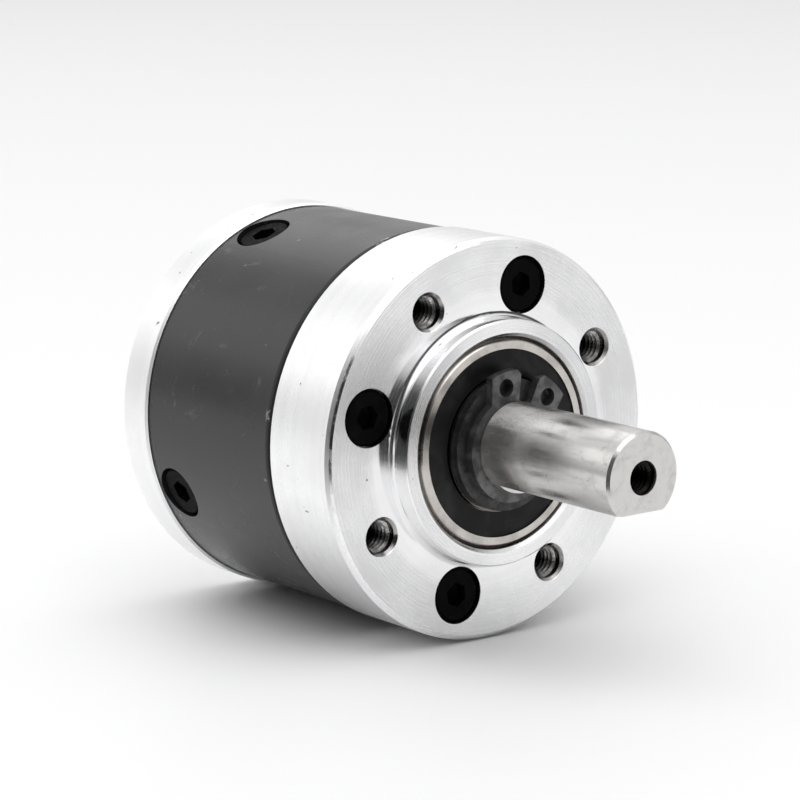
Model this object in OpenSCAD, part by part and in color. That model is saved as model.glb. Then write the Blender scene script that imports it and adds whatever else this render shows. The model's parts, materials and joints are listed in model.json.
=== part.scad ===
// Two-stage planetary gearbox, 36 mm class, with an 8 mm D shaft.
// The gearbox lies on its side: the shaft points along -Y and +Z is up.
// The origin is on the shaft's axis, in the plane of the front flange's face.

/* [Body] */
// Outer diameter of the front flange
flange_d = 36; // [35.8:0.1:38]
// Length of the front flange's rim
flange_len = 8.4; // [8.2:0.1:9]
// Outer diameter of the ring-gear housing
ring_d = 35.6; // [35:0.1:36]
// Length of the ring-gear housing
ring_len = 18.8; // [18.6:0.1:19.5]
// Outer diameter of the rear flange
rear_d = 36.2; // [35:0.1:37]
// Length of the rear flange's rim
rear_t = 3.8; // [3.2:0.1:5]
// Diameter of the pilot boss
boss_d = 22; // [21.5:0.1:23]
// Height of the pilot boss
boss_h = 2; // [1.8:0.1:3]

/* [Output shaft] */
// Diameter of the output shaft
shaft_d = 8; // [7:0.1:8.5]
// How far the shaft stands out of the flange's face
shaft_out = 20; // [15:0.5:30]
// Distance from the shaft's axis to its flat
flat_r = 3; // [2.8:0.1:3.4]
// Where the flat begins, in front of the flange's face
flat_start = 4.5; // [4:0.5:8]
// Diameter of the shaft where the bearings sit
seat_d = 10; // [10:1:10]

/* [Screws and holes] */
// Pitch circle of the front holes and screws
front_pcd = 28; // [27.5:0.1:28.5]
// Angle of the first front screw
screw_angle = 75; // [60:1:90]
// Diameter of a screw head
head_d = 5; // [4.5:0.1:5.1]
// Diameter of a screw's shank
screw_d = 2.5; // [2:0.1:2.5]
// Diameter of a tapped mounting hole
tap_d = 3; // [2.5:0.1:3]
// Depth of a tapped mounting hole
tap_depth = 6; // [4:0.5:7]
// Pitch circle of the motor's screws
motor_pcd = 25; // [24:0.5:25]
// Diameter of the recess for the motor's boss
motor_boss_d = 13; // [12:0.5:14]

/* [Gears] */
// Module of every gear
module_mm = 0.6; // [0.6:0.1:0.6]
// Teeth of the ring gear
ring_teeth = 38; // [38:1:38]
// Teeth of each sun gear
sun_teeth = 14; // [14:1:14]
// Teeth of each planet gear
planet_teeth = 12; // [12:1:12]
// Thickness taken off each tooth for backlash
backlash = 0.06; // [0.04:0.01:0.1]
// Diameter of the planet pins
pin_d = 3; // [2.5:0.1:3]
// Hole in the input pinion for the motor's shaft
pinion_bore_d = 3.17; // [2:0.01:3.2]

/* [Bearings] */
// Outer diameter of the bearings
bearing_od = 19; // [19:1:19]
// Width of the bearings
bearing_w = 5; // [5:1:5]
// Diameter of a ball
ball_d = 2.38; // [2.3:0.01:2.4]
// Balls in each bearing
ball_count = 12; // [8:1:12]

/* [Hidden] */
$fn = 96;
PLANETS = 4;

// Clearances: a fixed fit and a running fit, both on the radius
fit = 0.01;
run = 0.03;
eps = 0.01;

// Positions along the shaft's axis: the flange's face is 0 and forward is positive
boss_front = boss_h;
flange_back = -flange_len;
spigot_back = flange_back - 0.6;
ring_back = flange_back - ring_len;
rear_back = ring_back - rear_t;
bearing_sink = 0.2;
front_bearing_z = boss_front - bearing_sink - bearing_w;
lip_t = 0.6;
rear_bearing_z = front_bearing_z - lip_t - bearing_w;
shim_t = 0.3;
out_disc_front = rear_bearing_z - shim_t;
out_disc_t = 2;
out_disc_back = out_disc_front - out_disc_t;
washer_t = 0.15;
planet_w = 4.5;
out_planet_front = out_disc_back - 0.2;
out_planet_back = out_planet_front - planet_w;
in_disc_front = out_planet_back - 0.2;
in_disc_t = 1.5;
in_disc_back = in_disc_front - in_disc_t;
in_planet_front = in_disc_back - 0.25;
in_planet_back = in_planet_front - planet_w + 0.05;
wear_front = in_planet_back - 0.1;
wear_t = 0.3;
wear_back = wear_front - wear_t;
pinion_back = -27;
seat_front = boss_front - bearing_sink - 0.1;
clip_washer_t = 0.8;
circlip_t = 0.8;
circlip_back = boss_front - bearing_sink + clip_washer_t;

boss_chamfer = 0.15;
cove_r = 0.5;
ring_front_chamfer = 0.45;
ring_rear_chamfer = 0.1;

// Radii
spigot_r = 12.3;
rear_spigot_r = 15;
through_r = 5.2;
lip_r = 8.6;
disc_r = 10.7;
centre_distance = module_mm * (sun_teeth + planet_teeth) / 2;
ring_tip_r = 11.05;
ring_root_r = module_mm * ring_teeth / 2 + 1.25 * module_mm;
sun_tip_r = 4.75;
planet_tip_r = module_mm * planet_teeth / 2 + module_mm;
hub_r = 3.3;
stub_r = 4.3;
hole_r = front_pcd / 2;
tapped_core_r = screw_d / 2;
shank_r = screw_d / 2 - 0.02;

// Screws
head_h = 2.1;
low_head_h = 1.6;
head_gap = 0.1;
head_sink = 0.2;
socket_af = 2;
socket_depth = 1;
screw_gap = 0.05;
front_shank = 12;
radial_shank = 6;
radial_z = ring_back + 2.8;
radial_angle = 22.5;
tap_angle = screw_angle - 45;
motor_angle = radial_angle + 45;

// Bearing sections
pitch_r = 7.25;
groove_r = ball_d / 2 + run;
seal_t = 0.35;
outer_ring_chamfer = 0.45;
inner_ring_chamfer = 0.2;

// Circlip and its washer: a ring that is thickest away from its gap, and two lugs with a hole each
groove_bottom_r = shaft_d / 2 - 0.2;
clip_washer_r = shaft_d / 2 + 1.9;
clip_ring_r = shaft_d / 2 + 0.82;
clip_shift = 0.18;
clip_angle = 74;
clip_half_gap = 10;
clip_hole_angle = 27;
clip_hole_r = shaft_d / 2 + 1.4;
clip_hole_d = 1.6;
clip_lug_r = shaft_d / 2 + 2.8;
clip_lug_angle = 38;
clip_root_angle = 52;

// ---------- helpers ----------

// Lays the gearbox down: the working frame has its axis along Z, forward up
module lay() {
    rotate([90, 0, 0]) children();
}

// A plain disc or ring between two positions on the axis
module tube(z0, z1, r_out, r_in = 0) {
    translate([0, 0, z0])
        difference() {
            cylinder(h = z1 - z0, r = r_out);
            if (r_in > 0)
                translate([0, 0, -1]) cylinder(h = z1 - z0 + 2, r = r_in);
        }
}

// A cylinder with chamfers at its lower and upper edge
module chamfered(z0, z1, r, c0, c1) {
    rotate_extrude()
        polygon([[0, z0], [r - c0, z0], [r, z0 + c0], [r, z1 - c1], [r - c1, z1], [0, z1]]);
}

function polar(r, a) = r * [cos(a), sin(a)];

// Four copies about the axis, the first at the given angle and radius
module four(angle, r) {
    for (i = [0:3])
        rotate([0, 0, angle + 90 * i]) translate([r, 0, 0]) children();
}

// ---------- gear teeth ----------

function inv(a) = tan(a) * 180 / PI - a;

// Half the angle that a tooth takes up at radius r
function tooth_half(n, r, thinner) =
    let (rp = module_mm * n / 2, rb = rp * cos(20))
    90 / n + inv(20) - inv(acos(min(1, rb / r))) - thinner / 2 / rp * 180 / PI;

// Radii at which a flank has a point, from its root to its tip
function flank_radii(n, r_in, r_out, steps = 5) =
    let (rb = module_mm * n / 2 * cos(20), start = max(r_in, rb + eps))
    concat(start > r_in ? [r_in] : [],
           [for (i = [0:steps]) start + (r_out - start) * i / steps]);

// Outline of a gear with its first tooth on +X; a negative thinner makes the cutter of a ring gear
function gear_outline(n, r_in, r_out, thinner) =
    let (radii = flank_radii(n, r_in, r_out), last = len(radii) - 1)
    [for (k = [0:n - 1], side = [-1, 1], i = [0:last])
        let (r = radii[side < 0 ? i : last - i], a = 360 / n * k + side * tooth_half(n, r, thinner))
        polar(r, a)];

module spur(n, r_tip, z0, z1) {
    r_root = module_mm * n / 2 - 1.25 * module_mm;
    translate([0, 0, z0])
        linear_extrude(z1 - z0) polygon(gear_outline(n, r_root, r_tip, backlash / 2));
}

// Turn that puts a planet at this place in mesh with the ring gear
function planet_turn(place) = -place * (ring_teeth - planet_teeth) / planet_teeth;

// Turn that puts a sun gear in mesh with planets at this place
function sun_turn(place) =
    place * (sun_teeth + ring_teeth) / sun_teeth + 180 * (planet_teeth + 1) / sun_teeth;

OUT_PLACE = 0;
IN_PLACE = 45;

module planet(place, front, back) {
    rotate([0, 0, place])
        translate([centre_distance, 0, 0])
            rotate([0, 0, planet_turn(place) - place])
                difference() {
                    spur(planet_teeth, planet_tip_r, back, front);
                    translate([0, 0, back - 1]) cylinder(h = front - back + 2, r = pin_d / 2 + run);
                }
}

// ---------- housing ----------

// Hollow curve between the flange's face and the wall of the boss
module boss_cove() {
    rotate_extrude()
        difference() {
            translate([boss_d / 2 - 1, -1]) square([1 + cove_r, 1 + cove_r]);
            translate([boss_d / 2 + cove_r, cove_r]) circle(r = cove_r);
        }
}

module front_flange() {
    color("gainsboro") lay() difference() {
        union() {
            chamfered(flange_back, 0, flange_d / 2, 0.2, 0.45);
            chamfered(-1, boss_front, boss_d / 2, 0, boss_chamfer);
            boss_cove();
            tube(spigot_back, flange_back + 1, spigot_r - fit);
        }
        // bearing seats, the lip between them, and the mouth's chamfer
        tube(front_bearing_z, boss_front + 1, bearing_od / 2 + fit);
        tube(spigot_back - 1, rear_bearing_z + bearing_w, bearing_od / 2 + fit);
        tube(rear_bearing_z, boss_front, lip_r);
        rotate_extrude()
            polygon([[0, boss_front - 0.3], [bearing_od / 2 + fit, boss_front - 0.3],
                     [bearing_od / 2 + 0.31, boss_front], [bearing_od / 2 + 0.31, boss_front + 1],
                     [0, boss_front + 1]]);
        // screw holes
        four(screw_angle, hole_r) {
            tube(-head_sink - head_h, 1, head_d / 2 + head_gap);
            tube(spigot_back - 1, 0, screw_d / 2 + screw_gap);
        }
        // tapped mounting holes with a countersunk mouth
        four(tap_angle, hole_r) {
            tube(-tap_depth, 1, tap_d / 2);
            rotate_extrude()
                polygon([[0, -0.28], [tap_d / 2, -0.28], [tap_d / 2 + 0.28, 0],
                         [tap_d / 2 + 0.28, 1], [0, 1]]);
        }
    }
}

module ring_gear_housing() {
    color("dimgray") lay() difference() {
        rotate_extrude()
            polygon([[ring_root_r - 2, ring_back], [ring_d / 2 - ring_rear_chamfer, ring_back],
                     [ring_d / 2, ring_back + ring_rear_chamfer],
                     [ring_d / 2, flange_back - ring_front_chamfer],
                     [ring_d / 2 - ring_front_chamfer, flange_back], [ring_root_r - 2, flange_back]]);
        tube(spigot_back, flange_back + 1, spigot_r);
        tube(ring_back - 1, wear_front, rear_spigot_r);
        translate([0, 0, ring_back])
            linear_extrude(ring_len)
                polygon(gear_outline(ring_teeth, ring_tip_r, ring_root_r, -backlash / 2));
        four(screw_angle, hole_r) tube(-front_shank - 3, flange_back + 1, tapped_core_r);
        // seats of the radial screws
        for (i = [0:3])
            rotate([0, 0, radial_angle + 90 * i])
                translate([0, 0, radial_z])
                    rotate([0, 90, 0]) {
                        tube(ring_d / 2 - low_head_h - 0.3, ring_d / 2 + 1, head_d / 2 + head_gap - 0.05);
                        tube(rear_spigot_r - 1, ring_d / 2, screw_d / 2 + screw_gap);
                    }
    }
}

module rear_flange() {
    color("silver") lay() difference() {
        union() {
            chamfered(rear_back, ring_back, rear_d / 2, 0.3, 0.2);
            tube(ring_back - 0.5, wear_back, rear_spigot_r - fit);
        }
        tube(rear_back - 1, wear_back + 1, through_r);
        tube(rear_back - 1, rear_back + 3, motor_boss_d / 2);
        for (i = [0:3])
            rotate([0, 0, radial_angle + 90 * i])
                translate([0, 0, radial_z])
                    rotate([0, 90, 0]) tube(rear_spigot_r - radial_shank, rear_spigot_r + 1, tapped_core_r);
        four(motor_angle, motor_pcd / 2) {
            tube(rear_back - 1, wear_back + 1, 1.6);
            tube(wear_back - 3, wear_back + 1, 2.3);
        }
    }
}

// Low-head socket screw, its head's underside at 0 and its shank downwards
module socket_screw(head, shank) {
    difference() {
        union() {
            chamfered(0, head, head_d / 2, 0, 0.3);
            tube(-shank, eps, shank_r);
        }
        translate([0, 0, head - socket_depth])
            cylinder(h = 2, d = socket_af / cos(30), $fn = 6);
        translate([0, 0, head - socket_depth - 0.4])
            cylinder(h = 0.4 + eps, r1 = 0.1, r2 = socket_af / 2 - 0.05);
    }
}

module flange_screws() {
    color("#18181a") lay()
        four(screw_angle, hole_r)
            translate([0, 0, -head_sink - head_h]) rotate([0, 0, 20]) socket_screw(head_h, front_shank);
}

module radial_screws() {
    color("#18181a") lay()
        for (i = [0:3])
            rotate([0, 0, radial_angle + 90 * i])
                translate([0, 0, radial_z])
                    rotate([0, 90, 0])
                        translate([0, 0, ring_d / 2 - low_head_h - 0.3])
                            rotate([0, 0, 35]) socket_screw(low_head_h, radial_shank);
}

module wear_plate() {
    color("lightgray") lay() tube(wear_back, wear_front, rear_spigot_r - 2 * fit, through_r);
}

// ---------- bearings ----------

function on_groove(a) = [pitch_r + groove_r * cos(a), groove_r * sin(a)];

function groove_arc(from, to) = [for (i = [0:8]) on_groove(from + (to - from) * i / 8)];

module bearing_outer_ring(z) {
    r = bearing_od / 2;
    c = outer_ring_chamfer;
    h = bearing_w / 2;
    land = pitch_r + 0.9;
    seat = r - 1.1;
    color("lightgray") lay() translate([0, 0, z + h])
        difference() {
            rotate_extrude()
                polygon([[land, -h + 0.6], [seat, -h + 0.6], [seat, -h], [r - c, -h], [r, -h + c],
                         [r, h - c], [r - c, h], [seat, h], [seat, h - 0.6], [land, h - 0.6]]);
            rotate_extrude() translate([pitch_r, 0]) circle(r = groove_r);
        }
}

module bearing_inner_ring(z) {
    r = seat_d / 2;
    c = inner_ring_chamfer;
    h = bearing_w / 2;
    land = pitch_r - 0.9;
    seat = r + 1.1;
    color("lightgray") lay() translate([0, 0, z + h])
        difference() {
            rotate_extrude()
                polygon([[land, -h + 0.6], [seat, -h + 0.6], [seat, -h], [r + c, -h], [r, -h + c],
                         [r, h - c], [r + c, h], [seat, h], [seat, h - 0.6], [land, h - 0.6]]);
            rotate_extrude() translate([pitch_r, 0]) circle(r = groove_r);
        }
}

module bearing_balls(z) {
    color("white") lay() translate([0, 0, z + bearing_w / 2])
        for (i = [0:ball_count - 1])
            rotate([0, 0, 360 / ball_count * i]) translate([pitch_r, 0, 0]) sphere(d = ball_d, $fn = 48);
}

// Crown cage: a ring with a round pocket for each ball, open towards the front
module bearing_cage(z) {
    color("peru") lay() translate([0, 0, z + bearing_w / 2])
        difference() {
            tube(-1.6, 0.5, pitch_r + 0.5, pitch_r - 0.5);
            for (i = [0:ball_count - 1])
                rotate([0, 0, 360 / ball_count * i])
                    translate([pitch_r, 0, 0]) sphere(r = ball_d / 2 + 0.06, $fn = 48);
        }
}

// A rubber seal in the bearing's front (side 1) or rear (side -1)
module bearing_seal(z, side) {
    mid = z + bearing_w / 2 + side * (bearing_w / 2 - 0.36);
    color("#1c1c1c") lay() tube(mid - seal_t / 2, mid + seal_t / 2, bearing_od / 2 - 1.12, seat_d / 2 + 1.2);
}

// ---------- output shaft and second stage ----------

module output_shaft() {
    color("silver") lay() difference() {
        union() {
            chamfered(flat_start, shaft_out, shaft_d / 2, 0, 0.25);
            tube(seat_front - 0.5, flat_start + eps, shaft_d / 2 - fit);
            chamfered(out_disc_front, seat_front, seat_d / 2 - fit, 0, 0.25);
            tube(out_disc_back, out_disc_front + 1, stub_r);
        }
        tube(circlip_back - 0.02, circlip_back + circlip_t + 0.05, seat_d, groove_bottom_r);
        translate([-seat_d, -seat_d - flat_r, flat_start])
            cube([2 * seat_d, seat_d, shaft_out]);
        tube(shaft_out - 8, shaft_out + 1, tap_d / 2);
    }
}

// One lug's outline, from the gap's side round to where it runs out into the ring
function lug_outline() = [
    polar(1, clip_half_gap - 2),
    polar(clip_lug_r - 0.65, clip_half_gap - 2),
    polar(clip_lug_r + 0.1, clip_half_gap + 4.5),
    polar(clip_lug_r + 0.8, clip_hole_angle),
    polar(clip_lug_r + 0.15, clip_lug_angle),
    polar(clip_ring_r - 0.35, clip_root_angle),
    polar(1, clip_root_angle)
];

module circlip() {
    color("#2a2a2c") lay()
        rotate([0, 0, clip_angle])
            translate([0, 0, circlip_back])
                linear_extrude(circlip_t)
                    difference() {
                        union() {
                            translate([-clip_shift, 0]) circle(r = clip_ring_r);
                            intersection() {
                                circle(r = clip_lug_r);
                                union() {
                                    polygon(lug_outline());
                                    mirror([0, 1]) polygon(lug_outline());
                                }
                            }
                        }
                        circle(r = groove_bottom_r + fit);
                        polygon([[0, 0], polar(20, clip_half_gap), polar(20, -clip_half_gap)]);
                        for (side = [-1, 1])
                            translate(polar(clip_hole_r, side * clip_hole_angle)) circle(d = clip_hole_d);
                    }
}

module circlip_shim() {
    color("dimgray") lay()
        tube(boss_front - bearing_sink, circlip_back, clip_washer_r, shaft_d / 2 + run);
}

module bearing_spacer() {
    color("silver") lay()
        tube(rear_bearing_z + bearing_w, front_bearing_z, seat_d / 2 + 1, seat_d / 2 + run);
}

module carrier_shim() {
    color("silver") lay() tube(out_disc_front, rear_bearing_z, seat_d / 2 + 1, seat_d / 2 + run);
}

module carrier_disc(back, front, bore, place) {
    difference() {
        chamfered(back, front, disc_r, 0.2, 0.2);
        tube(back - 1, front + 1, bore);
        four(place, centre_distance) tube(back - 1, front + 1, pin_d / 2);
    }
}

module output_carrier() {
    color("darkgray") lay() carrier_disc(out_disc_back, out_disc_front, stub_r + fit, OUT_PLACE);
}

module output_planet_pins() {
    color("silver") lay() four(OUT_PLACE, centre_distance)
        chamfered(out_planet_back + 0.05, out_disc_front, pin_d / 2 - fit, 0.2, 0.2);
}

module output_planet_washers() {
    color("goldenrod") lay() four(OUT_PLACE, centre_distance)
        tube(out_disc_back - washer_t, out_disc_back, 2.7, pin_d / 2 + run);
}

module output_planet(i) {
    color("slategray") lay() planet(OUT_PLACE + 90 * (i - 1), out_planet_front, out_planet_back);
}

// ---------- first stage ----------

module output_sun_gear() {
    color("slategray") lay() {
        rotate([0, 0, sun_turn(OUT_PLACE)])
            spur(sun_teeth, sun_tip_r, in_disc_front, out_planet_front);
        tube(in_disc_back, in_disc_front + eps, hub_r);
    }
}

module input_carrier() {
    color("darkgray") lay() carrier_disc(in_disc_back, in_disc_front, hub_r + fit, IN_PLACE);
}

module input_planet_pins() {
    color("silver") lay() four(IN_PLACE, centre_distance)
        chamfered(in_planet_back + 0.05, in_disc_front, pin_d / 2 - fit, 0.2, 0.2);
}

module input_planet_washers() {
    color("goldenrod") lay() four(IN_PLACE, centre_distance)
        tube(in_disc_back - washer_t, in_disc_back, 2.7, pin_d / 2 + run);
}

module input_planet(i) {
    color("slategray") lay() planet(IN_PLACE + 90 * (i - 1), in_planet_front, in_planet_back);
}

module input_pinion() {
    color("darkkhaki") lay()
        difference() {
            rotate([0, 0, sun_turn(IN_PLACE)]) spur(sun_teeth, sun_tip_r, pinion_back, in_planet_front);
            tube(pinion_back - 1, in_planet_front + 1, pinion_bore_d / 2);
        }
}

front_flange();
ring_gear_housing();
rear_flange();
flange_screws();
radial_screws();
wear_plate();
bearing_outer_ring(front_bearing_z);  // front_bearing_outer_ring
bearing_inner_ring(front_bearing_z);  // front_bearing_inner_ring
bearing_balls(front_bearing_z);  // front_bearing_balls
bearing_cage(front_bearing_z);  // front_bearing_cage
bearing_seal(front_bearing_z, 1);  // front_bearing_outer_seal
bearing_seal(front_bearing_z, -1);  // front_bearing_inner_seal
bearing_outer_ring(rear_bearing_z);  // rear_bearing_outer_ring
bearing_inner_ring(rear_bearing_z);  // rear_bearing_inner_ring
bearing_balls(rear_bearing_z);  // rear_bearing_balls
bearing_cage(rear_bearing_z);  // rear_bearing_cage
bearing_seal(rear_bearing_z, 1);  // rear_bearing_outer_seal
bearing_seal(rear_bearing_z, -1);  // rear_bearing_inner_seal
output_shaft();
circlip();
circlip_shim();
bearing_spacer();
carrier_shim();
output_carrier();
output_planet_pins();
output_planet_washers();
output_planet(1);  // output_planet_1
output_planet(2);  // output_planet_2
output_planet(3);  // output_planet_3
output_planet(4);  // output_planet_4
output_sun_gear();
input_carrier();
input_planet_pins();
input_planet_washers();
input_planet(1);  // input_planet_1
input_planet(2);  // input_planet_2
input_planet(3);  // input_planet_3
input_planet(4);  // input_planet_4
input_pinion();
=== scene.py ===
"""Looks of a two-stage planetary gearbox: aluminium flanges, a black ring-gear housing and a D shaft."""
import json
import math

import bmesh
import bpy
from mathutils import Matrix, Vector


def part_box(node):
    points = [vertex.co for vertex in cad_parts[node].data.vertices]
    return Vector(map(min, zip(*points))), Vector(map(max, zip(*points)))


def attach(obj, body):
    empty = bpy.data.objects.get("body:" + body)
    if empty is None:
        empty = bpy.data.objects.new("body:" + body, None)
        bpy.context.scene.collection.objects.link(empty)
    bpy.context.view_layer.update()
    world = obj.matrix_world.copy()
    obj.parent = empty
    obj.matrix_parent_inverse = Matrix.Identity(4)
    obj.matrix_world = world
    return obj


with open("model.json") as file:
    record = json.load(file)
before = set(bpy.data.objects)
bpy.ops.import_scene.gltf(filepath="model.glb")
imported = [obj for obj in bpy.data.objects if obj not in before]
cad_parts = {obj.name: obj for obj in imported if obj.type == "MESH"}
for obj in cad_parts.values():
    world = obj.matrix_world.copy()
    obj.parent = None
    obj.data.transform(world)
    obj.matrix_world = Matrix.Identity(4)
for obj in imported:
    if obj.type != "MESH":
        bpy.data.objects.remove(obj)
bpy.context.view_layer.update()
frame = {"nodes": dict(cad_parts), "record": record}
nodes = frame["nodes"]
MM = 0.001


# ---------- places, all from the frame ----------

def node_range(node, axis):
    """Lowest and highest place of a CAD node along one axis."""
    low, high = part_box(node)
    return low[axis], high[axis]


def mount(name):
    return next(m for m in frame["record"]["mounts"] if m["name"] == name)


FLANGE_R = node_range("front_flange", 0)[1]
RING_FRONT = node_range("ring_gear_housing", 1)[0]
REAR_R = node_range("rear_flange", 0)[1]
SHAFT_END = node_range("output_shaft", 1)[0]
BEARING_R = node_range("front_bearing_outer_ring", 0)[1]
BOSS_R = mount("pilot_boss")["dims"]["r_mm"] * MM
FLOOR_Z = -REAR_R

# first tapped hole of the flange, in degrees round the shaft's axis
TAP_ANGLE = 30
# inner edge of the bearing's face, oily there and darkened with painted shade
BEARING_BORE_R = 6.6 * MM
# threads: how far the ridge stands in from the hole's wall, where it starts, how far down it goes
RIDGE_HEIGHT = 0.27 * MM
TAP_MOUTH = 0.25 * MM
TAP_DEPTH = 5.5 * MM
THREAD_PITCH = 0.5 * MM

# metal share of the ground steel, and what a scuffed patch takes from it
STEEL_METALLIC = 0.88
SCUFF_DULLING = 0.54
# how much smoother the finely turned places are
FINER_ROUGHNESS = 0.145

CAMERA_PLACE = (-0.1889, -0.2257, 0.0610)
CAMERA_FORWARD = (0.6094, 0.7694, -0.1915)
CAMERA_LENS = 153.4
CAMERA_SENSOR = 36.0
TOWARD_CAMERA = (-0.6209, -0.7839, 0.0)

FLAG_DISTANCE = 0.115
FLAG_FOOT = 0.055
FLAG_HALF_WIDTH = 0.065
FLAG_TOP = 0.075
FLOOR_HALF = 4.0
CAMERA_WHITE = 0.965


# ---------- node materials ----------

class Shader:
    """A Principled material with short calls for the nodes that drive it."""

    def __init__(self, name, **sockets):
        self.material = bpy.data.materials.new(name)
        self.material.use_nodes = True
        self.tree = self.material.node_tree
        self.bsdf = self.tree.nodes["Principled BSDF"]
        for socket, value in sockets.items():
            self.bsdf.inputs[socket.replace("_", " ")].default_value = value
        coords = self.tree.nodes.new("ShaderNodeTexCoord")
        self.place = coords.outputs["Object"]

    def new(self, kind, settings=None, **inputs):
        node = self.tree.nodes.new("ShaderNode" + kind)
        for key, value in (settings or {}).items():
            setattr(node, key, value)
        for key, value in inputs.items():
            self.feed(node.inputs[key.replace("_", " ")], value)
        return node

    def feed(self, socket, value):
        if isinstance(value, bpy.types.NodeSocket):
            self.tree.links.new(value, socket)
        else:
            socket.default_value = value

    def math(self, operation, a, b=0.0, clamp=False):
        node = self.new("Math", {"operation": operation, "use_clamp": clamp})
        self.feed(node.inputs[0], a)
        self.feed(node.inputs[1], b)
        return node.outputs[0]

    def scaled(self, vector, factors):
        node = self.new("VectorMath", {"operation": "MULTIPLY"})
        self.feed(node.inputs[0], vector)
        self.feed(node.inputs[1], factors)
        return node.outputs[0]

    def axes(self):
        """The place as separate x, y, z outputs."""
        return self.new("SeparateXYZ", Vector=self.place).outputs

    def turned(self):
        """A vector of (radius about the shaft's axis, place along it, 0): what a lathe's marks follow."""
        x, y, z = self.axes()
        radius = self.math("SQRT", self.math("ADD", self.math("MULTIPLY", x, x), self.math("MULTIPLY", z, z)))
        return self.new("CombineXYZ", X=radius, Y=y, Z=0.0).outputs[0], radius, y

    def noise(self, vector, scale, detail=3.0, roughness=0.6, distortion=0.0):
        node = self.new("TexNoise", Vector=vector, Scale=scale, Detail=detail, Roughness=roughness,
                        Distortion=distortion)
        return node.outputs["Fac"]

    def ramp(self, value, low, high, out_low=0.0, out_high=1.0, smooth=True):
        """Value between low and high, mapped to out_low and out_high, and clamped."""
        node = self.new("MapRange", {"interpolation_type": "SMOOTHSTEP" if smooth else "LINEAR"})
        for key, number in zip(("Value", "From Min", "From Max", "To Min", "To Max"),
                               (value, low, high, out_low, out_high)):
            self.feed(node.inputs[key], number)
        return node.outputs[0]

    def mix(self, factor, a, b):
        node = self.new("Mix", {"data_type": "RGBA"})
        self.feed(node.inputs[0], factor)
        self.feed(node.inputs[6], a)
        self.feed(node.inputs[7], b)
        return node.outputs[2]

    def down_hole(self, holes, radius, mouth, deep):
        """0 outside some holes along Y and at their mouths, rising to 1 down in them."""
        return self.math("MULTIPLY", self.near(holes, radius), self.ramp(self.axes()[1], mouth, deep))

    def finer_turned(self, radius):
        """Where the flange's front was turned finer: the boss's foot and the front edge's chamfer."""
        foot = self.math("MULTIPLY", self.ramp(radius, BOSS_R - 0.16 * MM, BOSS_R - 0.06 * MM),
                         self.ramp(radius, BOSS_R + 1.5 * MM, BOSS_R + 2.8 * MM, 1.0, 0.0))
        chamfer = self.math("MULTIPLY", self.ramp(radius, FLANGE_R - 0.5 * MM, FLANGE_R - 0.44 * MM),
                            self.ramp(radius, FLANGE_R - 0.3 * MM, FLANGE_R - 0.22 * MM, 1.0, 0.0))
        nicks = self.ramp(self.noise(self.place, 650.0, 4.0, 0.7), 0.5, 0.62, 1.3, 0.3)
        return self.math("MAXIMUM", foot, self.math("MULTIPLY", chamfer, nicks))

    def sector(self, degrees, radius, edge, full):
        """1 within some degrees of a direction round the shaft's axis, fading to 0 at the edge."""
        x, y, z = self.axes()
        way = math.radians(degrees)
        across = self.math("ADD", self.math("MULTIPLY", x, math.cos(way)),
                           self.math("MULTIPLY", z, math.sin(way)))
        low, high = math.cos(math.radians(edge)), math.cos(math.radians(full))
        return self.ramp(self.math("DIVIDE", across, radius), low, high)

    def base_scuff(self, radius, along):
        """The dull, scuffed patch on the shaft's upper left side, close to the circlip."""
        sector = self.sector(120, radius, 27, 14)
        base = self.ramp(along, -13 * MM, -6 * MM)
        scratched = self.noise(self.scaled(self.place, (900.0, 350.0, 900.0)), 1.0, 4.0, 0.7)
        patchy = self.ramp(scratched, 0.3, 0.6, 0.4, 1.0)
        return self.math("MULTIPLY", self.math("MULTIPLY", sector, base), patchy)

    def near(self, points, radius, edge=0.04 * MM):
        """1 within a radius of the nearest of some axes along Y, given as (x, z), and 0 outside."""
        x, y, z = self.axes()
        flat = self.new("CombineXYZ", X=x, Y=0.0, Z=z).outputs[0]
        nearest = None
        for px, pz in points:
            node = self.new("VectorMath", {"operation": "DISTANCE"})
            self.feed(node.inputs[0], flat)
            node.inputs[1].default_value = (px, 0.0, pz)
            distance = node.outputs["Value"]
            nearest = distance if nearest is None else self.math("MINIMUM", nearest, distance)
        return self.ramp(nearest, radius, radius + edge, 1.0, 0.0)

    def color(self, value):
        self.feed(self.bsdf.inputs["Base Color"], value)

    def rough(self, value):
        self.feed(self.bsdf.inputs["Roughness"], value)

    def bump(self, height, distance, strength=1.0, after=None):
        node = self.new("Bump", Height=height, Distance=distance, Strength=strength)
        if after is not None:
            self.feed(node.inputs["Normal"], after)
        self.feed(self.bsdf.inputs["Normal"], node.outputs[0])
        return node.outputs[0]

    def radial_grain(self, amount):
        """Grain round the shaft's axis, as turning leaves it."""
        self.bsdf.inputs["Anisotropic"].default_value = amount
        tangent = self.new("Tangent", {"direction_type": "RADIAL", "axis": "Y"})
        self.feed(self.bsdf.inputs["Tangent"], tangent.outputs[0])


def rgb(r, g=None, b=None):
    return (r, r if g is None else g, r if b is None else b, 1.0)


def round_pattern(name, first_angle):
    """Axes of a bolt pattern's holes as (x, z)."""
    dims = mount(name)["dims"]
    around = dims["pcd_mm"] / 2 * MM
    angles = [math.radians(first_angle + 360 / dims["count"] * k) for k in range(dims["count"])]
    return [(around * math.cos(a), around * math.sin(a)) for a in angles]


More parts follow.
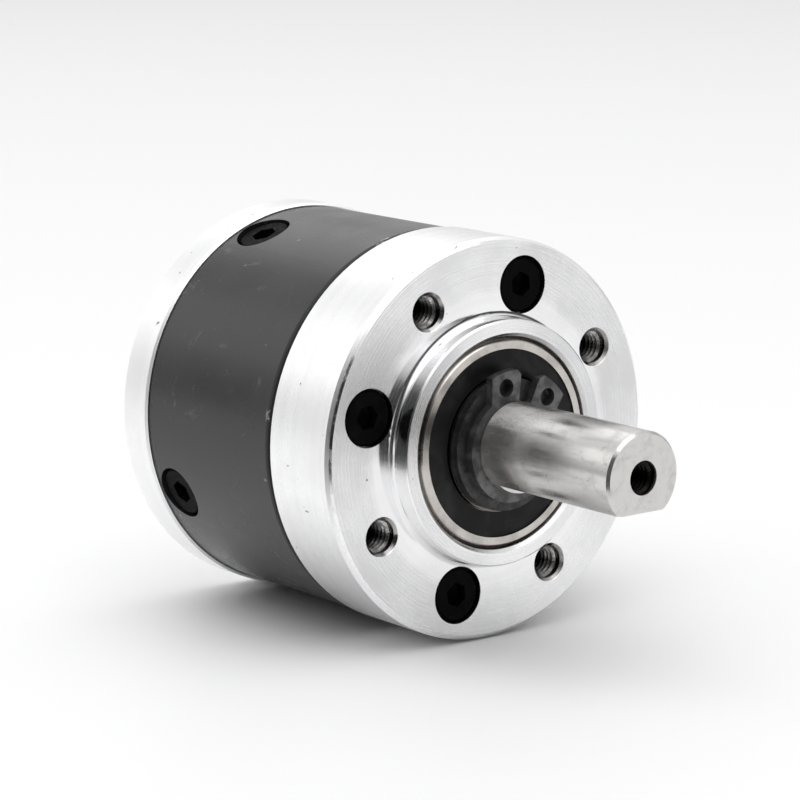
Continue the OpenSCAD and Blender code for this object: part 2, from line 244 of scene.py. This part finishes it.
def turned_aluminium(name, shine=0.3, holes=(), front=False):
    """Bright aluminium with lathe rings, faint stains and specks of dirt; its holes get painted shade, darker
    further down.
    """
    s = Shader(name, Metallic=1.0)
    rings, radius, along = s.turned()
    fine = s.noise(rings, 9000.0, 2.0)
    broad = s.noise(rings, 900.0, 3.0)
    stain = s.noise(s.place, 130.0, 4.0, 0.65)
    specks = s.ramp(s.noise(s.place, 1500.0, 2.0, 0.5), 0.755, 0.775)
    blots = s.ramp(s.noise(s.place, 420.0, 3.0, 0.6), 0.73, 0.76)
    dirt = s.math("MAXIMUM", specks, blots)
    metal = s.mix(s.ramp(stain, 0.35, 0.7), rgb(0.955, 0.955, 0.96), rgb(0.90, 0.90, 0.91))
    metal = s.mix(s.math("MULTIPLY", s.ramp(broad, 0.4, 0.65), 0.25), metal, rgb(0.80, 0.80, 0.81))
    metal = s.mix(s.math("MULTIPLY", dirt, 0.8), metal, rgb(0.16, 0.15, 0.15))
    if holes:
        # painted shade in the tapped holes: grey at the mouth's rim, darker further down, near black deep in
        metal = s.mix(s.down_hole(holes, 2.1 * MM, 0.01 * MM, 0.06 * MM), metal, rgb(0.4, 0.395, 0.39))
        metal = s.mix(s.down_hole(holes, 1.62 * MM, 0.1 * MM, 0.5 * MM), metal, rgb(0.22, 0.21, 0.2))
        metal = s.mix(s.down_hole(holes, 1.62 * MM, 0.7 * MM, 3.0 * MM), metal, rgb(0.02))
    s.color(metal)
    uneven = s.math("ADD", s.math("MULTIPLY", s.ramp(fine, 0.3, 0.7), 0.10),
                    s.math("MULTIPLY", s.ramp(stain, 0.3, 0.75), 0.08))
    rough = s.math("ADD", s.math("ADD", uneven, shine - 0.09), s.math("MULTIPLY", dirt, 0.3))
    if front:
        rough = s.math("SUBTRACT", rough, s.math("MULTIPLY", s.finer_turned(radius), FINER_ROUGHNESS))
    s.rough(rough)
    lathe = s.bump(fine, 0.0000022)
    s.bump(s.noise(s.place, 260.0, 3.0), 0.00002, 0.25, lathe)
    s.radial_grain(0.8)
    return s.material


def ground_steel(name, tint, shine, lengthwise=0.5, hole_mouth=None, scuffed=False):
    """Ground steel: fine rings, streaks and scratches along the shaft and a slight mottle."""
    s = Shader(name, Metallic=STEEL_METALLIC)
    rings, radius, along = s.turned()
    fine = s.noise(rings, 12000.0, 2.0)
    scratches = s.noise(s.scaled(s.place, (5200.0, 300.0, 5200.0)), 1.0, 4.0, 0.7)
    streaks = s.noise(s.scaled(s.place, (1100.0, 160.0, 1100.0)), 1.0, 4.0, 0.65, 0.4)
    mottle = s.noise(s.place, 800.0, 4.0, 0.7, 0.6)
    dark = s.math("ADD", s.math("MULTIPLY", s.ramp(mottle, 0.5, 0.72), 0.3),
                  s.math("MULTIPLY", s.ramp(streaks, 0.5, 0.72), 0.4 * lengthwise))
    metal = s.mix(dark, rgb(*tint), rgb(*[0.45 * c for c in tint]))
    if hole_mouth is not None:
        # painted shade down in the tapped hole at the shaft's end
        inside = s.down_hole([(0.0, 0.0)], 1.56 * MM, hole_mouth, hole_mouth + 0.4 * MM)
        metal = s.mix(inside, metal, rgb(0.02, 0.018, 0.016))
    s.color(metal)
    marks = s.math("ADD", s.math("MULTIPLY", s.ramp(scratches, 0.4, 0.75), 0.14 * lengthwise),
                   s.math("MULTIPLY", s.ramp(streaks, 0.35, 0.65), 0.12 * lengthwise))
    rough = s.math("ADD", marks, s.math("ADD", shine, s.math("MULTIPLY", s.ramp(mottle, 0.3, 0.8), 0.1)))
    if scuffed:
        scuff = s.base_scuff(radius, along)
        dulled = s.math("SUBTRACT", STEEL_METALLIC, s.math("MULTIPLY", scuff, SCUFF_DULLING))
        s.feed(s.bsdf.inputs["Metallic"], dulled)
        rough = s.math("ADD", rough, s.math("MULTIPLY", scuff, 0.12))
    s.rough(rough)
    first = s.bump(scratches, 0.00001 * lengthwise, 0.8)
    s.bump(fine, 0.000002, 0.8, first)
    s.bsdf.inputs["Anisotropic"].default_value = 0.3
    return s.material


def black_oxide(name, base=0.013, shine=0.2):
    """Blackened steel: a satin skin with pale smudges and specks, and a nicked seam at its front, dark with
    dirt and painted shade.
    """
    s = Shader(name, Metallic=0.0, Specular_IOR_Level=0.5)
    rings, radius, along = s.turned()
    cloud = s.noise(s.place, 90.0, 4.0, 0.6)
    grain = s.noise(s.place, 3800.0, 2.0)
    specks = s.ramp(s.noise(s.place, 900.0, 2.0), 0.735, 0.77)
    smudge = s.ramp(s.noise(s.place, 330.0, 4.0, 0.75, 0.5), 0.6, 0.76)
    skin = s.mix(s.ramp(cloud, 0.35, 0.7), rgb(base), rgb(base * 1.7, base * 1.6, base * 1.65))
    skin = s.mix(s.math("MULTIPLY", smudge, 0.45), skin, rgb(0.16, 0.155, 0.15))
    skin = s.mix(s.math("MULTIPLY", specks, 0.45), skin, rgb(0.3, 0.29, 0.28))
    # dirt and painted shade: the seam at the ring's front is darkened nearly to black
    seam = s.ramp(along, RING_FRONT + 0.7 * MM, RING_FRONT + 0.9 * MM, 1.0, 0.0)
    skin = s.mix(s.math("MULTIPLY", seam, 0.85), skin, rgb(0.002, 0.002, 0.003))
    edge = s.math("MULTIPLY", s.ramp(along, RING_FRONT + 0.3 * MM, RING_FRONT + 0.5 * MM),
                  s.ramp(along, RING_FRONT + 0.75 * MM, RING_FRONT + 1.15 * MM, 1.0, 0.0))
    nicks = s.ramp(s.noise(s.scaled(s.place, (1.0, 1.6, 1.0)), 700.0, 4.0, 0.7), 0.57, 0.66)
    lengths = s.ramp(s.noise(s.place, 120.0, 2.0), 0.5, 0.62)
    worn = s.math("MULTIPLY", edge, s.math("MULTIPLY", nicks, lengths))
    s.color(s.mix(s.math("MULTIPLY", worn, 0.9), skin, rgb(0.62, 0.58, 0.55)))
    polish = s.math("MULTIPLY", s.ramp(cloud, 0.3, 0.7), 0.12)
    matt = s.math("ADD", s.math("MULTIPLY", smudge, 0.12), s.math("MULTIPLY", seam, 0.35))
    s.rough(s.math("ADD", polish, s.math("ADD", matt, shine)))
    skin_bump = s.bump(grain, 0.000005, 0.6)
    skin_bump = s.bump(worn, 0.00002, 0.6, skin_bump)
    s.bump(s.noise(rings, 5000.0, 2.0), 0.000002, 0.6, skin_bump)
    return s.material


def polished_steel(name, tint, shine, rim_r=None):
    """Hardened and polished steel with a faint haze and fine rings; given a rim, its edges are darkened,
    partly oily, partly painted shade.
    """
    s = Shader(name, Metallic=1.0)
    rings, radius, along = s.turned()
    haze = s.noise(s.place, 500.0, 3.0)
    metal = s.mix(s.ramp(haze, 0.4, 0.7), rgb(*tint), rgb(*[0.8 * c for c in tint]))
    if rim_r is not None:
        # painted shade and oily darkening at the outer chamfer and the inner edge
        oil_and_painted_shade = s.math("MAXIMUM", s.ramp(radius, rim_r, rim_r + 0.12 * MM),
                     s.ramp(radius, BEARING_BORE_R, BEARING_BORE_R + 0.3 * MM, 1.0, 0.0))
        metal = s.mix(s.math("MULTIPLY", oil_and_painted_shade, 0.8), metal, rgb(0.07, 0.06, 0.055))
    s.color(metal)
    s.rough(s.math("ADD", s.math("MULTIPLY", s.ramp(haze, 0.3, 0.8), 0.14), shine))
    s.bump(s.noise(rings, 8000.0, 2.0), 0.0000015)
    return s.material


def seal_rubber(name):
    """Moulded black rubber with a fine matt grain and a little grease shine."""
    s = Shader(name, Metallic=0.0, Specular_IOR_Level=0.22)
    grain = s.noise(s.place, 6000.0, 2.0)
    smear = s.noise(s.place, 350.0, 4.0, 0.6, 0.8)
    s.color(s.mix(s.ramp(smear, 0.45, 0.7), rgb(0.007, 0.007, 0.008), rgb(0.016, 0.015, 0.016)))
    s.rough(s.ramp(smear, 0.35, 0.7, 0.5, 0.3))
    s.bump(grain, 0.000012, 0.5)
    return s.material


def phosphate(name, base=0.06, shine=0.42):
    """Phosphated spring steel: dark grey, crystalline and slightly oily."""
    s = Shader(name, Metallic=0.75)
    grain = s.noise(s.place, 5200.0, 3.0)
    cloud = s.noise(s.place, 700.0, 3.0)
    s.color(s.mix(s.ramp(cloud, 0.4, 0.65), rgb(base), rgb(base * 2.1, base * 2.05, base * 2.1)))
    s.rough(s.ramp(grain, 0.3, 0.7, shine - 0.08, shine + 0.12))
    s.bump(grain, 0.000008, 0.7)
    return s.material


def thread_with_painted_shade(name, tint, mouth, deep):
    """The flanks of a tapped thread: metal at the hole's mouth, darkened further down by painted shade."""
    s = Shader(name, Metallic=1.0)
    smear = s.noise(s.place, 1500.0, 3.0)
    metal = s.mix(s.ramp(smear, 0.4, 0.65), rgb(*tint), rgb(*[0.5 * c for c in tint]))
    # painted shade: darker with depth down the hole
    s.color(s.mix(s.ramp(s.axes()[1], mouth, deep), metal, rgb(0.015)))
    s.rough(s.ramp(smear, 0.3, 0.7, 0.22, 0.4))
    s.bump(smear, 0.00001, 0.5)
    return s.material


def blackened(name, base=0.0018, shine=0.5):
    """Black screws deep in their holes: matt, with a small grain and worn, greyer patches."""
    s = Shader(name, Metallic=0.0, Specular_IOR_Level=0.04)
    grain = s.noise(s.place, 2600.0, 3.0)
    worn = s.noise(s.place, 500.0, 3.0, 0.6)
    s.color(s.mix(s.ramp(worn, 0.45, 0.7), rgb(base), rgb(base * 2.2)))
    s.rough(s.ramp(grain, 0.3, 0.7, shine - 0.1, shine + 0.1))
    s.bump(grain, 0.000006, 0.6)
    return s.material


def plain_grain(name, tint, metallic, shine, scale=2500.0):
    """A quiet part inside the gearbox: a small grain and some unevenness of colour."""
    s = Shader(name, Metallic=metallic)
    grain = s.noise(s.place, scale, 3.0)
    cloud = s.noise(s.place, 300.0, 3.0)
    s.color(s.mix(s.ramp(cloud, 0.35, 0.7), rgb(*tint), rgb(*[0.7 * c for c in tint])))
    s.rough(s.ramp(grain, 0.3, 0.7, shine - 0.06, shine + 0.1))
    s.bump(grain, 0.000006, 0.6)
    return s.material


MATERIALS = {
    "flange_aluminium": turned_aluminium("flange_aluminium", 0.3,
                                         round_pattern("front_bolts", TAP_ANGLE), True),
    "thread_aluminium": thread_with_painted_shade("thread_aluminium", (0.5, 0.49, 0.48), 0.9 * MM, 3.2 * MM),
    "thread_steel": thread_with_painted_shade("thread_steel", (0.05, 0.045, 0.04), SHAFT_END, SHAFT_END + 1.2 * MM),
    "rear_aluminium": turned_aluminium("rear_aluminium", 0.34),
    "black_steel": black_oxide("black_steel"),
    "black_screw": blackened("black_screw"),
    "shim_steel": ground_steel("shim_steel", (0.55, 0.55, 0.55), 0.25),
    "bearing_steel": polished_steel("bearing_steel", (0.60, 0.57, 0.54), 0.16, BEARING_R - 0.4 * MM),
    "seal_rubber": seal_rubber("seal_rubber"),
    "ball_steel": polished_steel("ball_steel", (0.75, 0.75, 0.76), 0.05),
    "cage_plastic": plain_grain("cage_plastic", (0.42, 0.27, 0.12), 0.0, 0.45),
    "shaft_steel": ground_steel("shaft_steel", (0.68, 0.665, 0.65), 0.12, 0.5, SHAFT_END, True),
    "clip_steel": phosphate("clip_steel", 0.08, 0.36),
    "washer_steel": phosphate("washer_steel", 0.045, 0.4),
    "carrier_steel": ground_steel("carrier_steel", (0.42, 0.42, 0.43), 0.3),
    "pin_steel": ground_steel("pin_steel", (0.6, 0.6, 0.62), 0.2),
    "washer_bronze": plain_grain("washer_bronze", (0.6, 0.38, 0.17), 1.0, 0.35),
    "gear_steel": plain_grain("gear_steel", (0.4, 0.4, 0.42), 1.0, 0.32),
    "pinion_steel": plain_grain("pinion_steel", (0.5, 0.48, 0.44), 1.0, 0.3),
}

for entry in frame["record"]["subparts"]:
    mesh = nodes[entry["node"]].data
    mesh.materials.clear()
    mesh.materials.append(MATERIALS[entry["material_slot"]])


# ---------- pieces that the solids leave plain ----------

def new_piece(name, verts, faces, slot, body, smooth=True, look=None):
    mesh = bpy.data.meshes.new(name)
    mesh.from_pydata(verts, [], faces)
    mesh.validate()
    tidy = bmesh.new()
    tidy.from_mesh(mesh)
    bmesh.ops.recalc_face_normals(tidy, faces=tidy.faces)
    tidy.to_mesh(mesh)
    tidy.free()
    for polygon in mesh.polygons:
        polygon.use_smooth = smooth
    mesh.materials.append(MATERIALS[look or slot])
    piece = bpy.data.objects.new(name, mesh)
    bpy.context.scene.collection.objects.link(piece)
    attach(piece, body)
    return piece


def thread(centre_x, centre_z, mouth_y, depth, wall_r, core_r, pitch=THREAD_PITCH, per_turn=32):
    """Ridge of an internal thread: one closed helical band, its crest at the core radius."""
    half = 0.42 * pitch
    crest = 0.07 * pitch
    turns = (depth - pitch) / pitch
    steps = int(turns * per_turn)
    verts = []
    faces = []
    for i in range(steps + 1):
        a = 2 * math.pi * i / per_turn
        y = mouth_y + half + depth * 0.02 + pitch * i / per_turn
        fade = min(1.0, i / (0.4 * per_turn), (steps - i) / (0.4 * per_turn))
        core = wall_r - (wall_r - core_r) * max(fade, 0.02)
        for r, dy in ((wall_r + 0.02 * MM, -half), (core, -crest), (core, crest), (wall_r + 0.02 * MM, half)):
            verts.append((centre_x + r * math.cos(a), y + dy, centre_z + r * math.sin(a)))
    for i in range(steps):
        for k in range(4):
            a, b = 4 * i + k, 4 * i + (k + 1) % 4
            faces.append((a, b, b + 4, a + 4))
    faces.append((3, 2, 1, 0))
    last = 4 * steps
    faces.append((last, last + 1, last + 2, last + 3))
    return verts, faces


def join_parts(parts):
    verts = []
    faces = []
    for part_verts, part_faces in parts:
        start = len(verts)
        verts += part_verts
        faces += [tuple(v + start for v in face) for face in part_faces]
    return verts, faces


def flange_threads():
    bolts = mount("front_bolts")["dims"]
    wall = bolts["hole_r_mm"] * MM
    parts = []
    for x, z in round_pattern("front_bolts", TAP_ANGLE):
        parts.append(thread(x, z, TAP_MOUTH, TAP_DEPTH, wall, wall - RIDGE_HEIGHT))
    verts, faces = join_parts(parts)
    new_piece("flange_threads", verts, faces, "flange_aluminium", "housing", False, "thread_aluminium")


def shaft_thread():
    hole = mount("shaft_end_thread")["dims"]
    wall = hole["r_mm"] * MM
    depth = hole["length_mm"] * MM - 0.3 * MM
    verts, faces = thread(0.0, 0.0, SHAFT_END, depth, wall, wall - RIDGE_HEIGHT)
    new_piece("shaft_thread", verts, faces, "shaft_steel", "output", False, "thread_steel")


flange_threads()
shaft_thread()


# ---------- floor, light and camera ----------

def floor():
    corners = [(x * FLOOR_HALF, y * FLOOR_HALF, FLOOR_Z) for x, y in ((-1, -1), (1, -1), (1, 1), (-1, 1))]
    mesh = bpy.data.meshes.new("floor")
    mesh.from_pydata(corners, [], [(0, 1, 2, 3)])
    plane = bpy.data.objects.new("floor", mesh)
    bpy.context.scene.collection.objects.link(plane)
    s = Shader("floor_white", Roughness=0.55, Base_Color=rgb(0.9))
    s.bump(s.noise(s.place, 600.0, 2.0), 0.00001, 0.2)
    mesh.materials.append(s.material)


def area_light(name, place, target, width, height, watts):
    data = bpy.data.lights.new(name, "AREA")
    data.shape = "RECTANGLE"
    data.size = width
    data.size_y = height
    data.energy = watts
    lamp = bpy.data.objects.new(name, data)
    bpy.context.scene.collection.objects.link(lamp)
    lamp.location = place
    lamp.rotation_euler = (Vector(target) - Vector(place)).to_track_quat("-Z", "Y").to_euler()
    return lamp


def black_flag():
    """A dark card on the camera's side that only reflections see: bright metal gets dark edges from it."""
    toward = Vector(TOWARD_CAMERA)
    across = Vector((-toward.y, toward.x, 0.0))
    centre = FLAG_DISTANCE * toward
    foot = Vector((0, 0, FLOOR_Z + 0.5 * MM))
    corners = []
    for row in (FLAG_FOOT * toward + foot, centre + foot, centre + Vector((0, 0, FLAG_TOP))):
        corners += [row - FLAG_HALF_WIDTH * across, row + FLAG_HALF_WIDTH * across]
    mesh = bpy.data.meshes.new("black_flag")
    mesh.from_pydata(corners, [], [(0, 1, 3, 2), (2, 3, 5, 4)])
    mesh.materials.append(Shader("flag_black", Roughness=0.9, Base_Color=rgb(0.01)).material)
    card = bpy.data.objects.new("black_flag", mesh)
    bpy.context.scene.collection.objects.link(card)
    card.visible_camera = False
    card.visible_diffuse = False
    card.visible_shadow = False
    card.visible_transmission = False


def studio_world():
    """White for the camera. In reflections: a pale backdrop behind and a dark room in front."""
    world = bpy.data.worlds.new("studio")
    bpy.context.scene.world = world
    world.use_nodes = True
    tree = world.node_tree
    background = tree.nodes["Background"]
    coords = tree.nodes.new("ShaderNodeTexCoord")
    split = tree.nodes.new("ShaderNodeSeparateXYZ")
    tree.links.new(coords.outputs["Generated"], split.inputs[0])

    def sky(stops):
        ramp = tree.nodes.new("ShaderNodeValToRGB")
        tree.links.new(split.outputs[2], ramp.inputs[0])
        elements = ramp.color_ramp.elements
        elements[0].color = rgb(stops[0][1])
        elements[1].color = rgb(stops[-1][1])
        for position, grey in stops[1:-1]:
            elements.new(position).color = rgb(grey)
        return ramp.outputs[0]

    def mix(factor, low, high):
        node = tree.nodes.new("ShaderNodeMix")
        node.data_type = "RGBA"
        for socket, value in ((0, factor), (6, low), (7, high)):
            if isinstance(value, bpy.types.NodeSocket):
                tree.links.new(value, node.inputs[socket])
            else:
                node.inputs[socket].default_value = value
        return node.outputs[2]

    front = sky(((0.0, 0.03), (0.2, 0.05), (0.42, 0.14), (0.6, 0.8), (1.0, 0.9)))
    back = sky(((0.0, 0.55), (0.14, 0.62), (0.2, 0.85), (1.0, 0.9)))
    behind = tree.nodes.new("ShaderNodeMapRange")
    behind.interpolation_type = "SMOOTHSTEP"
    tree.links.new(split.outputs[1], behind.inputs["Value"])
    behind.inputs["From Min"].default_value = -0.15
    behind.inputs["From Max"].default_value = 0.25
    path = tree.nodes.new("ShaderNodeLightPath")
    surroundings = mix(behind.outputs[0], front, back)
    seen = mix(path.outputs["Is Camera Ray"], surroundings, rgb(CAMERA_WHITE))
    tree.links.new(seen, background.inputs["Color"])


def camera():
    """Long lens, a little above the table, looking along the shaft from its left."""
    place = Vector(CAMERA_PLACE)
    forward = Vector(CAMERA_FORWARD).normalized()
    right = forward.cross(Vector((0, 0, 1))).normalized()
    up = right.cross(forward)
    data = bpy.data.cameras.new("camera")
    data.lens = CAMERA_LENS
    data.sensor_width = CAMERA_SENSOR
    data.clip_start = 0.01
    obj = bpy.data.objects.new("camera", data)
    bpy.context.scene.collection.objects.link(obj)
    turn = Matrix((right, up, -forward)).transposed()
    obj.matrix_world = Matrix.Translation(place) @ turn.to_4x4()
    bpy.context.scene.camera = obj


floor()
black_flag()
studio_world()
camera()
area_light("overhead_softbox", (-0.1, -0.15, 0.8), (0, 0, 0), 1.0, 1.0, 3.9)
area_light("back_right_softbox", (0.22, 0.62, 0.45), (0, 0, 0), 0.34, 0.3, 0.16)
area_light("back_left_softbox", (-0.38, 0.62, 0.36), (0, 0, 0), 0.34, 0.3, 0.14)
bpy.context.scene.view_settings.view_transform = "Standard"
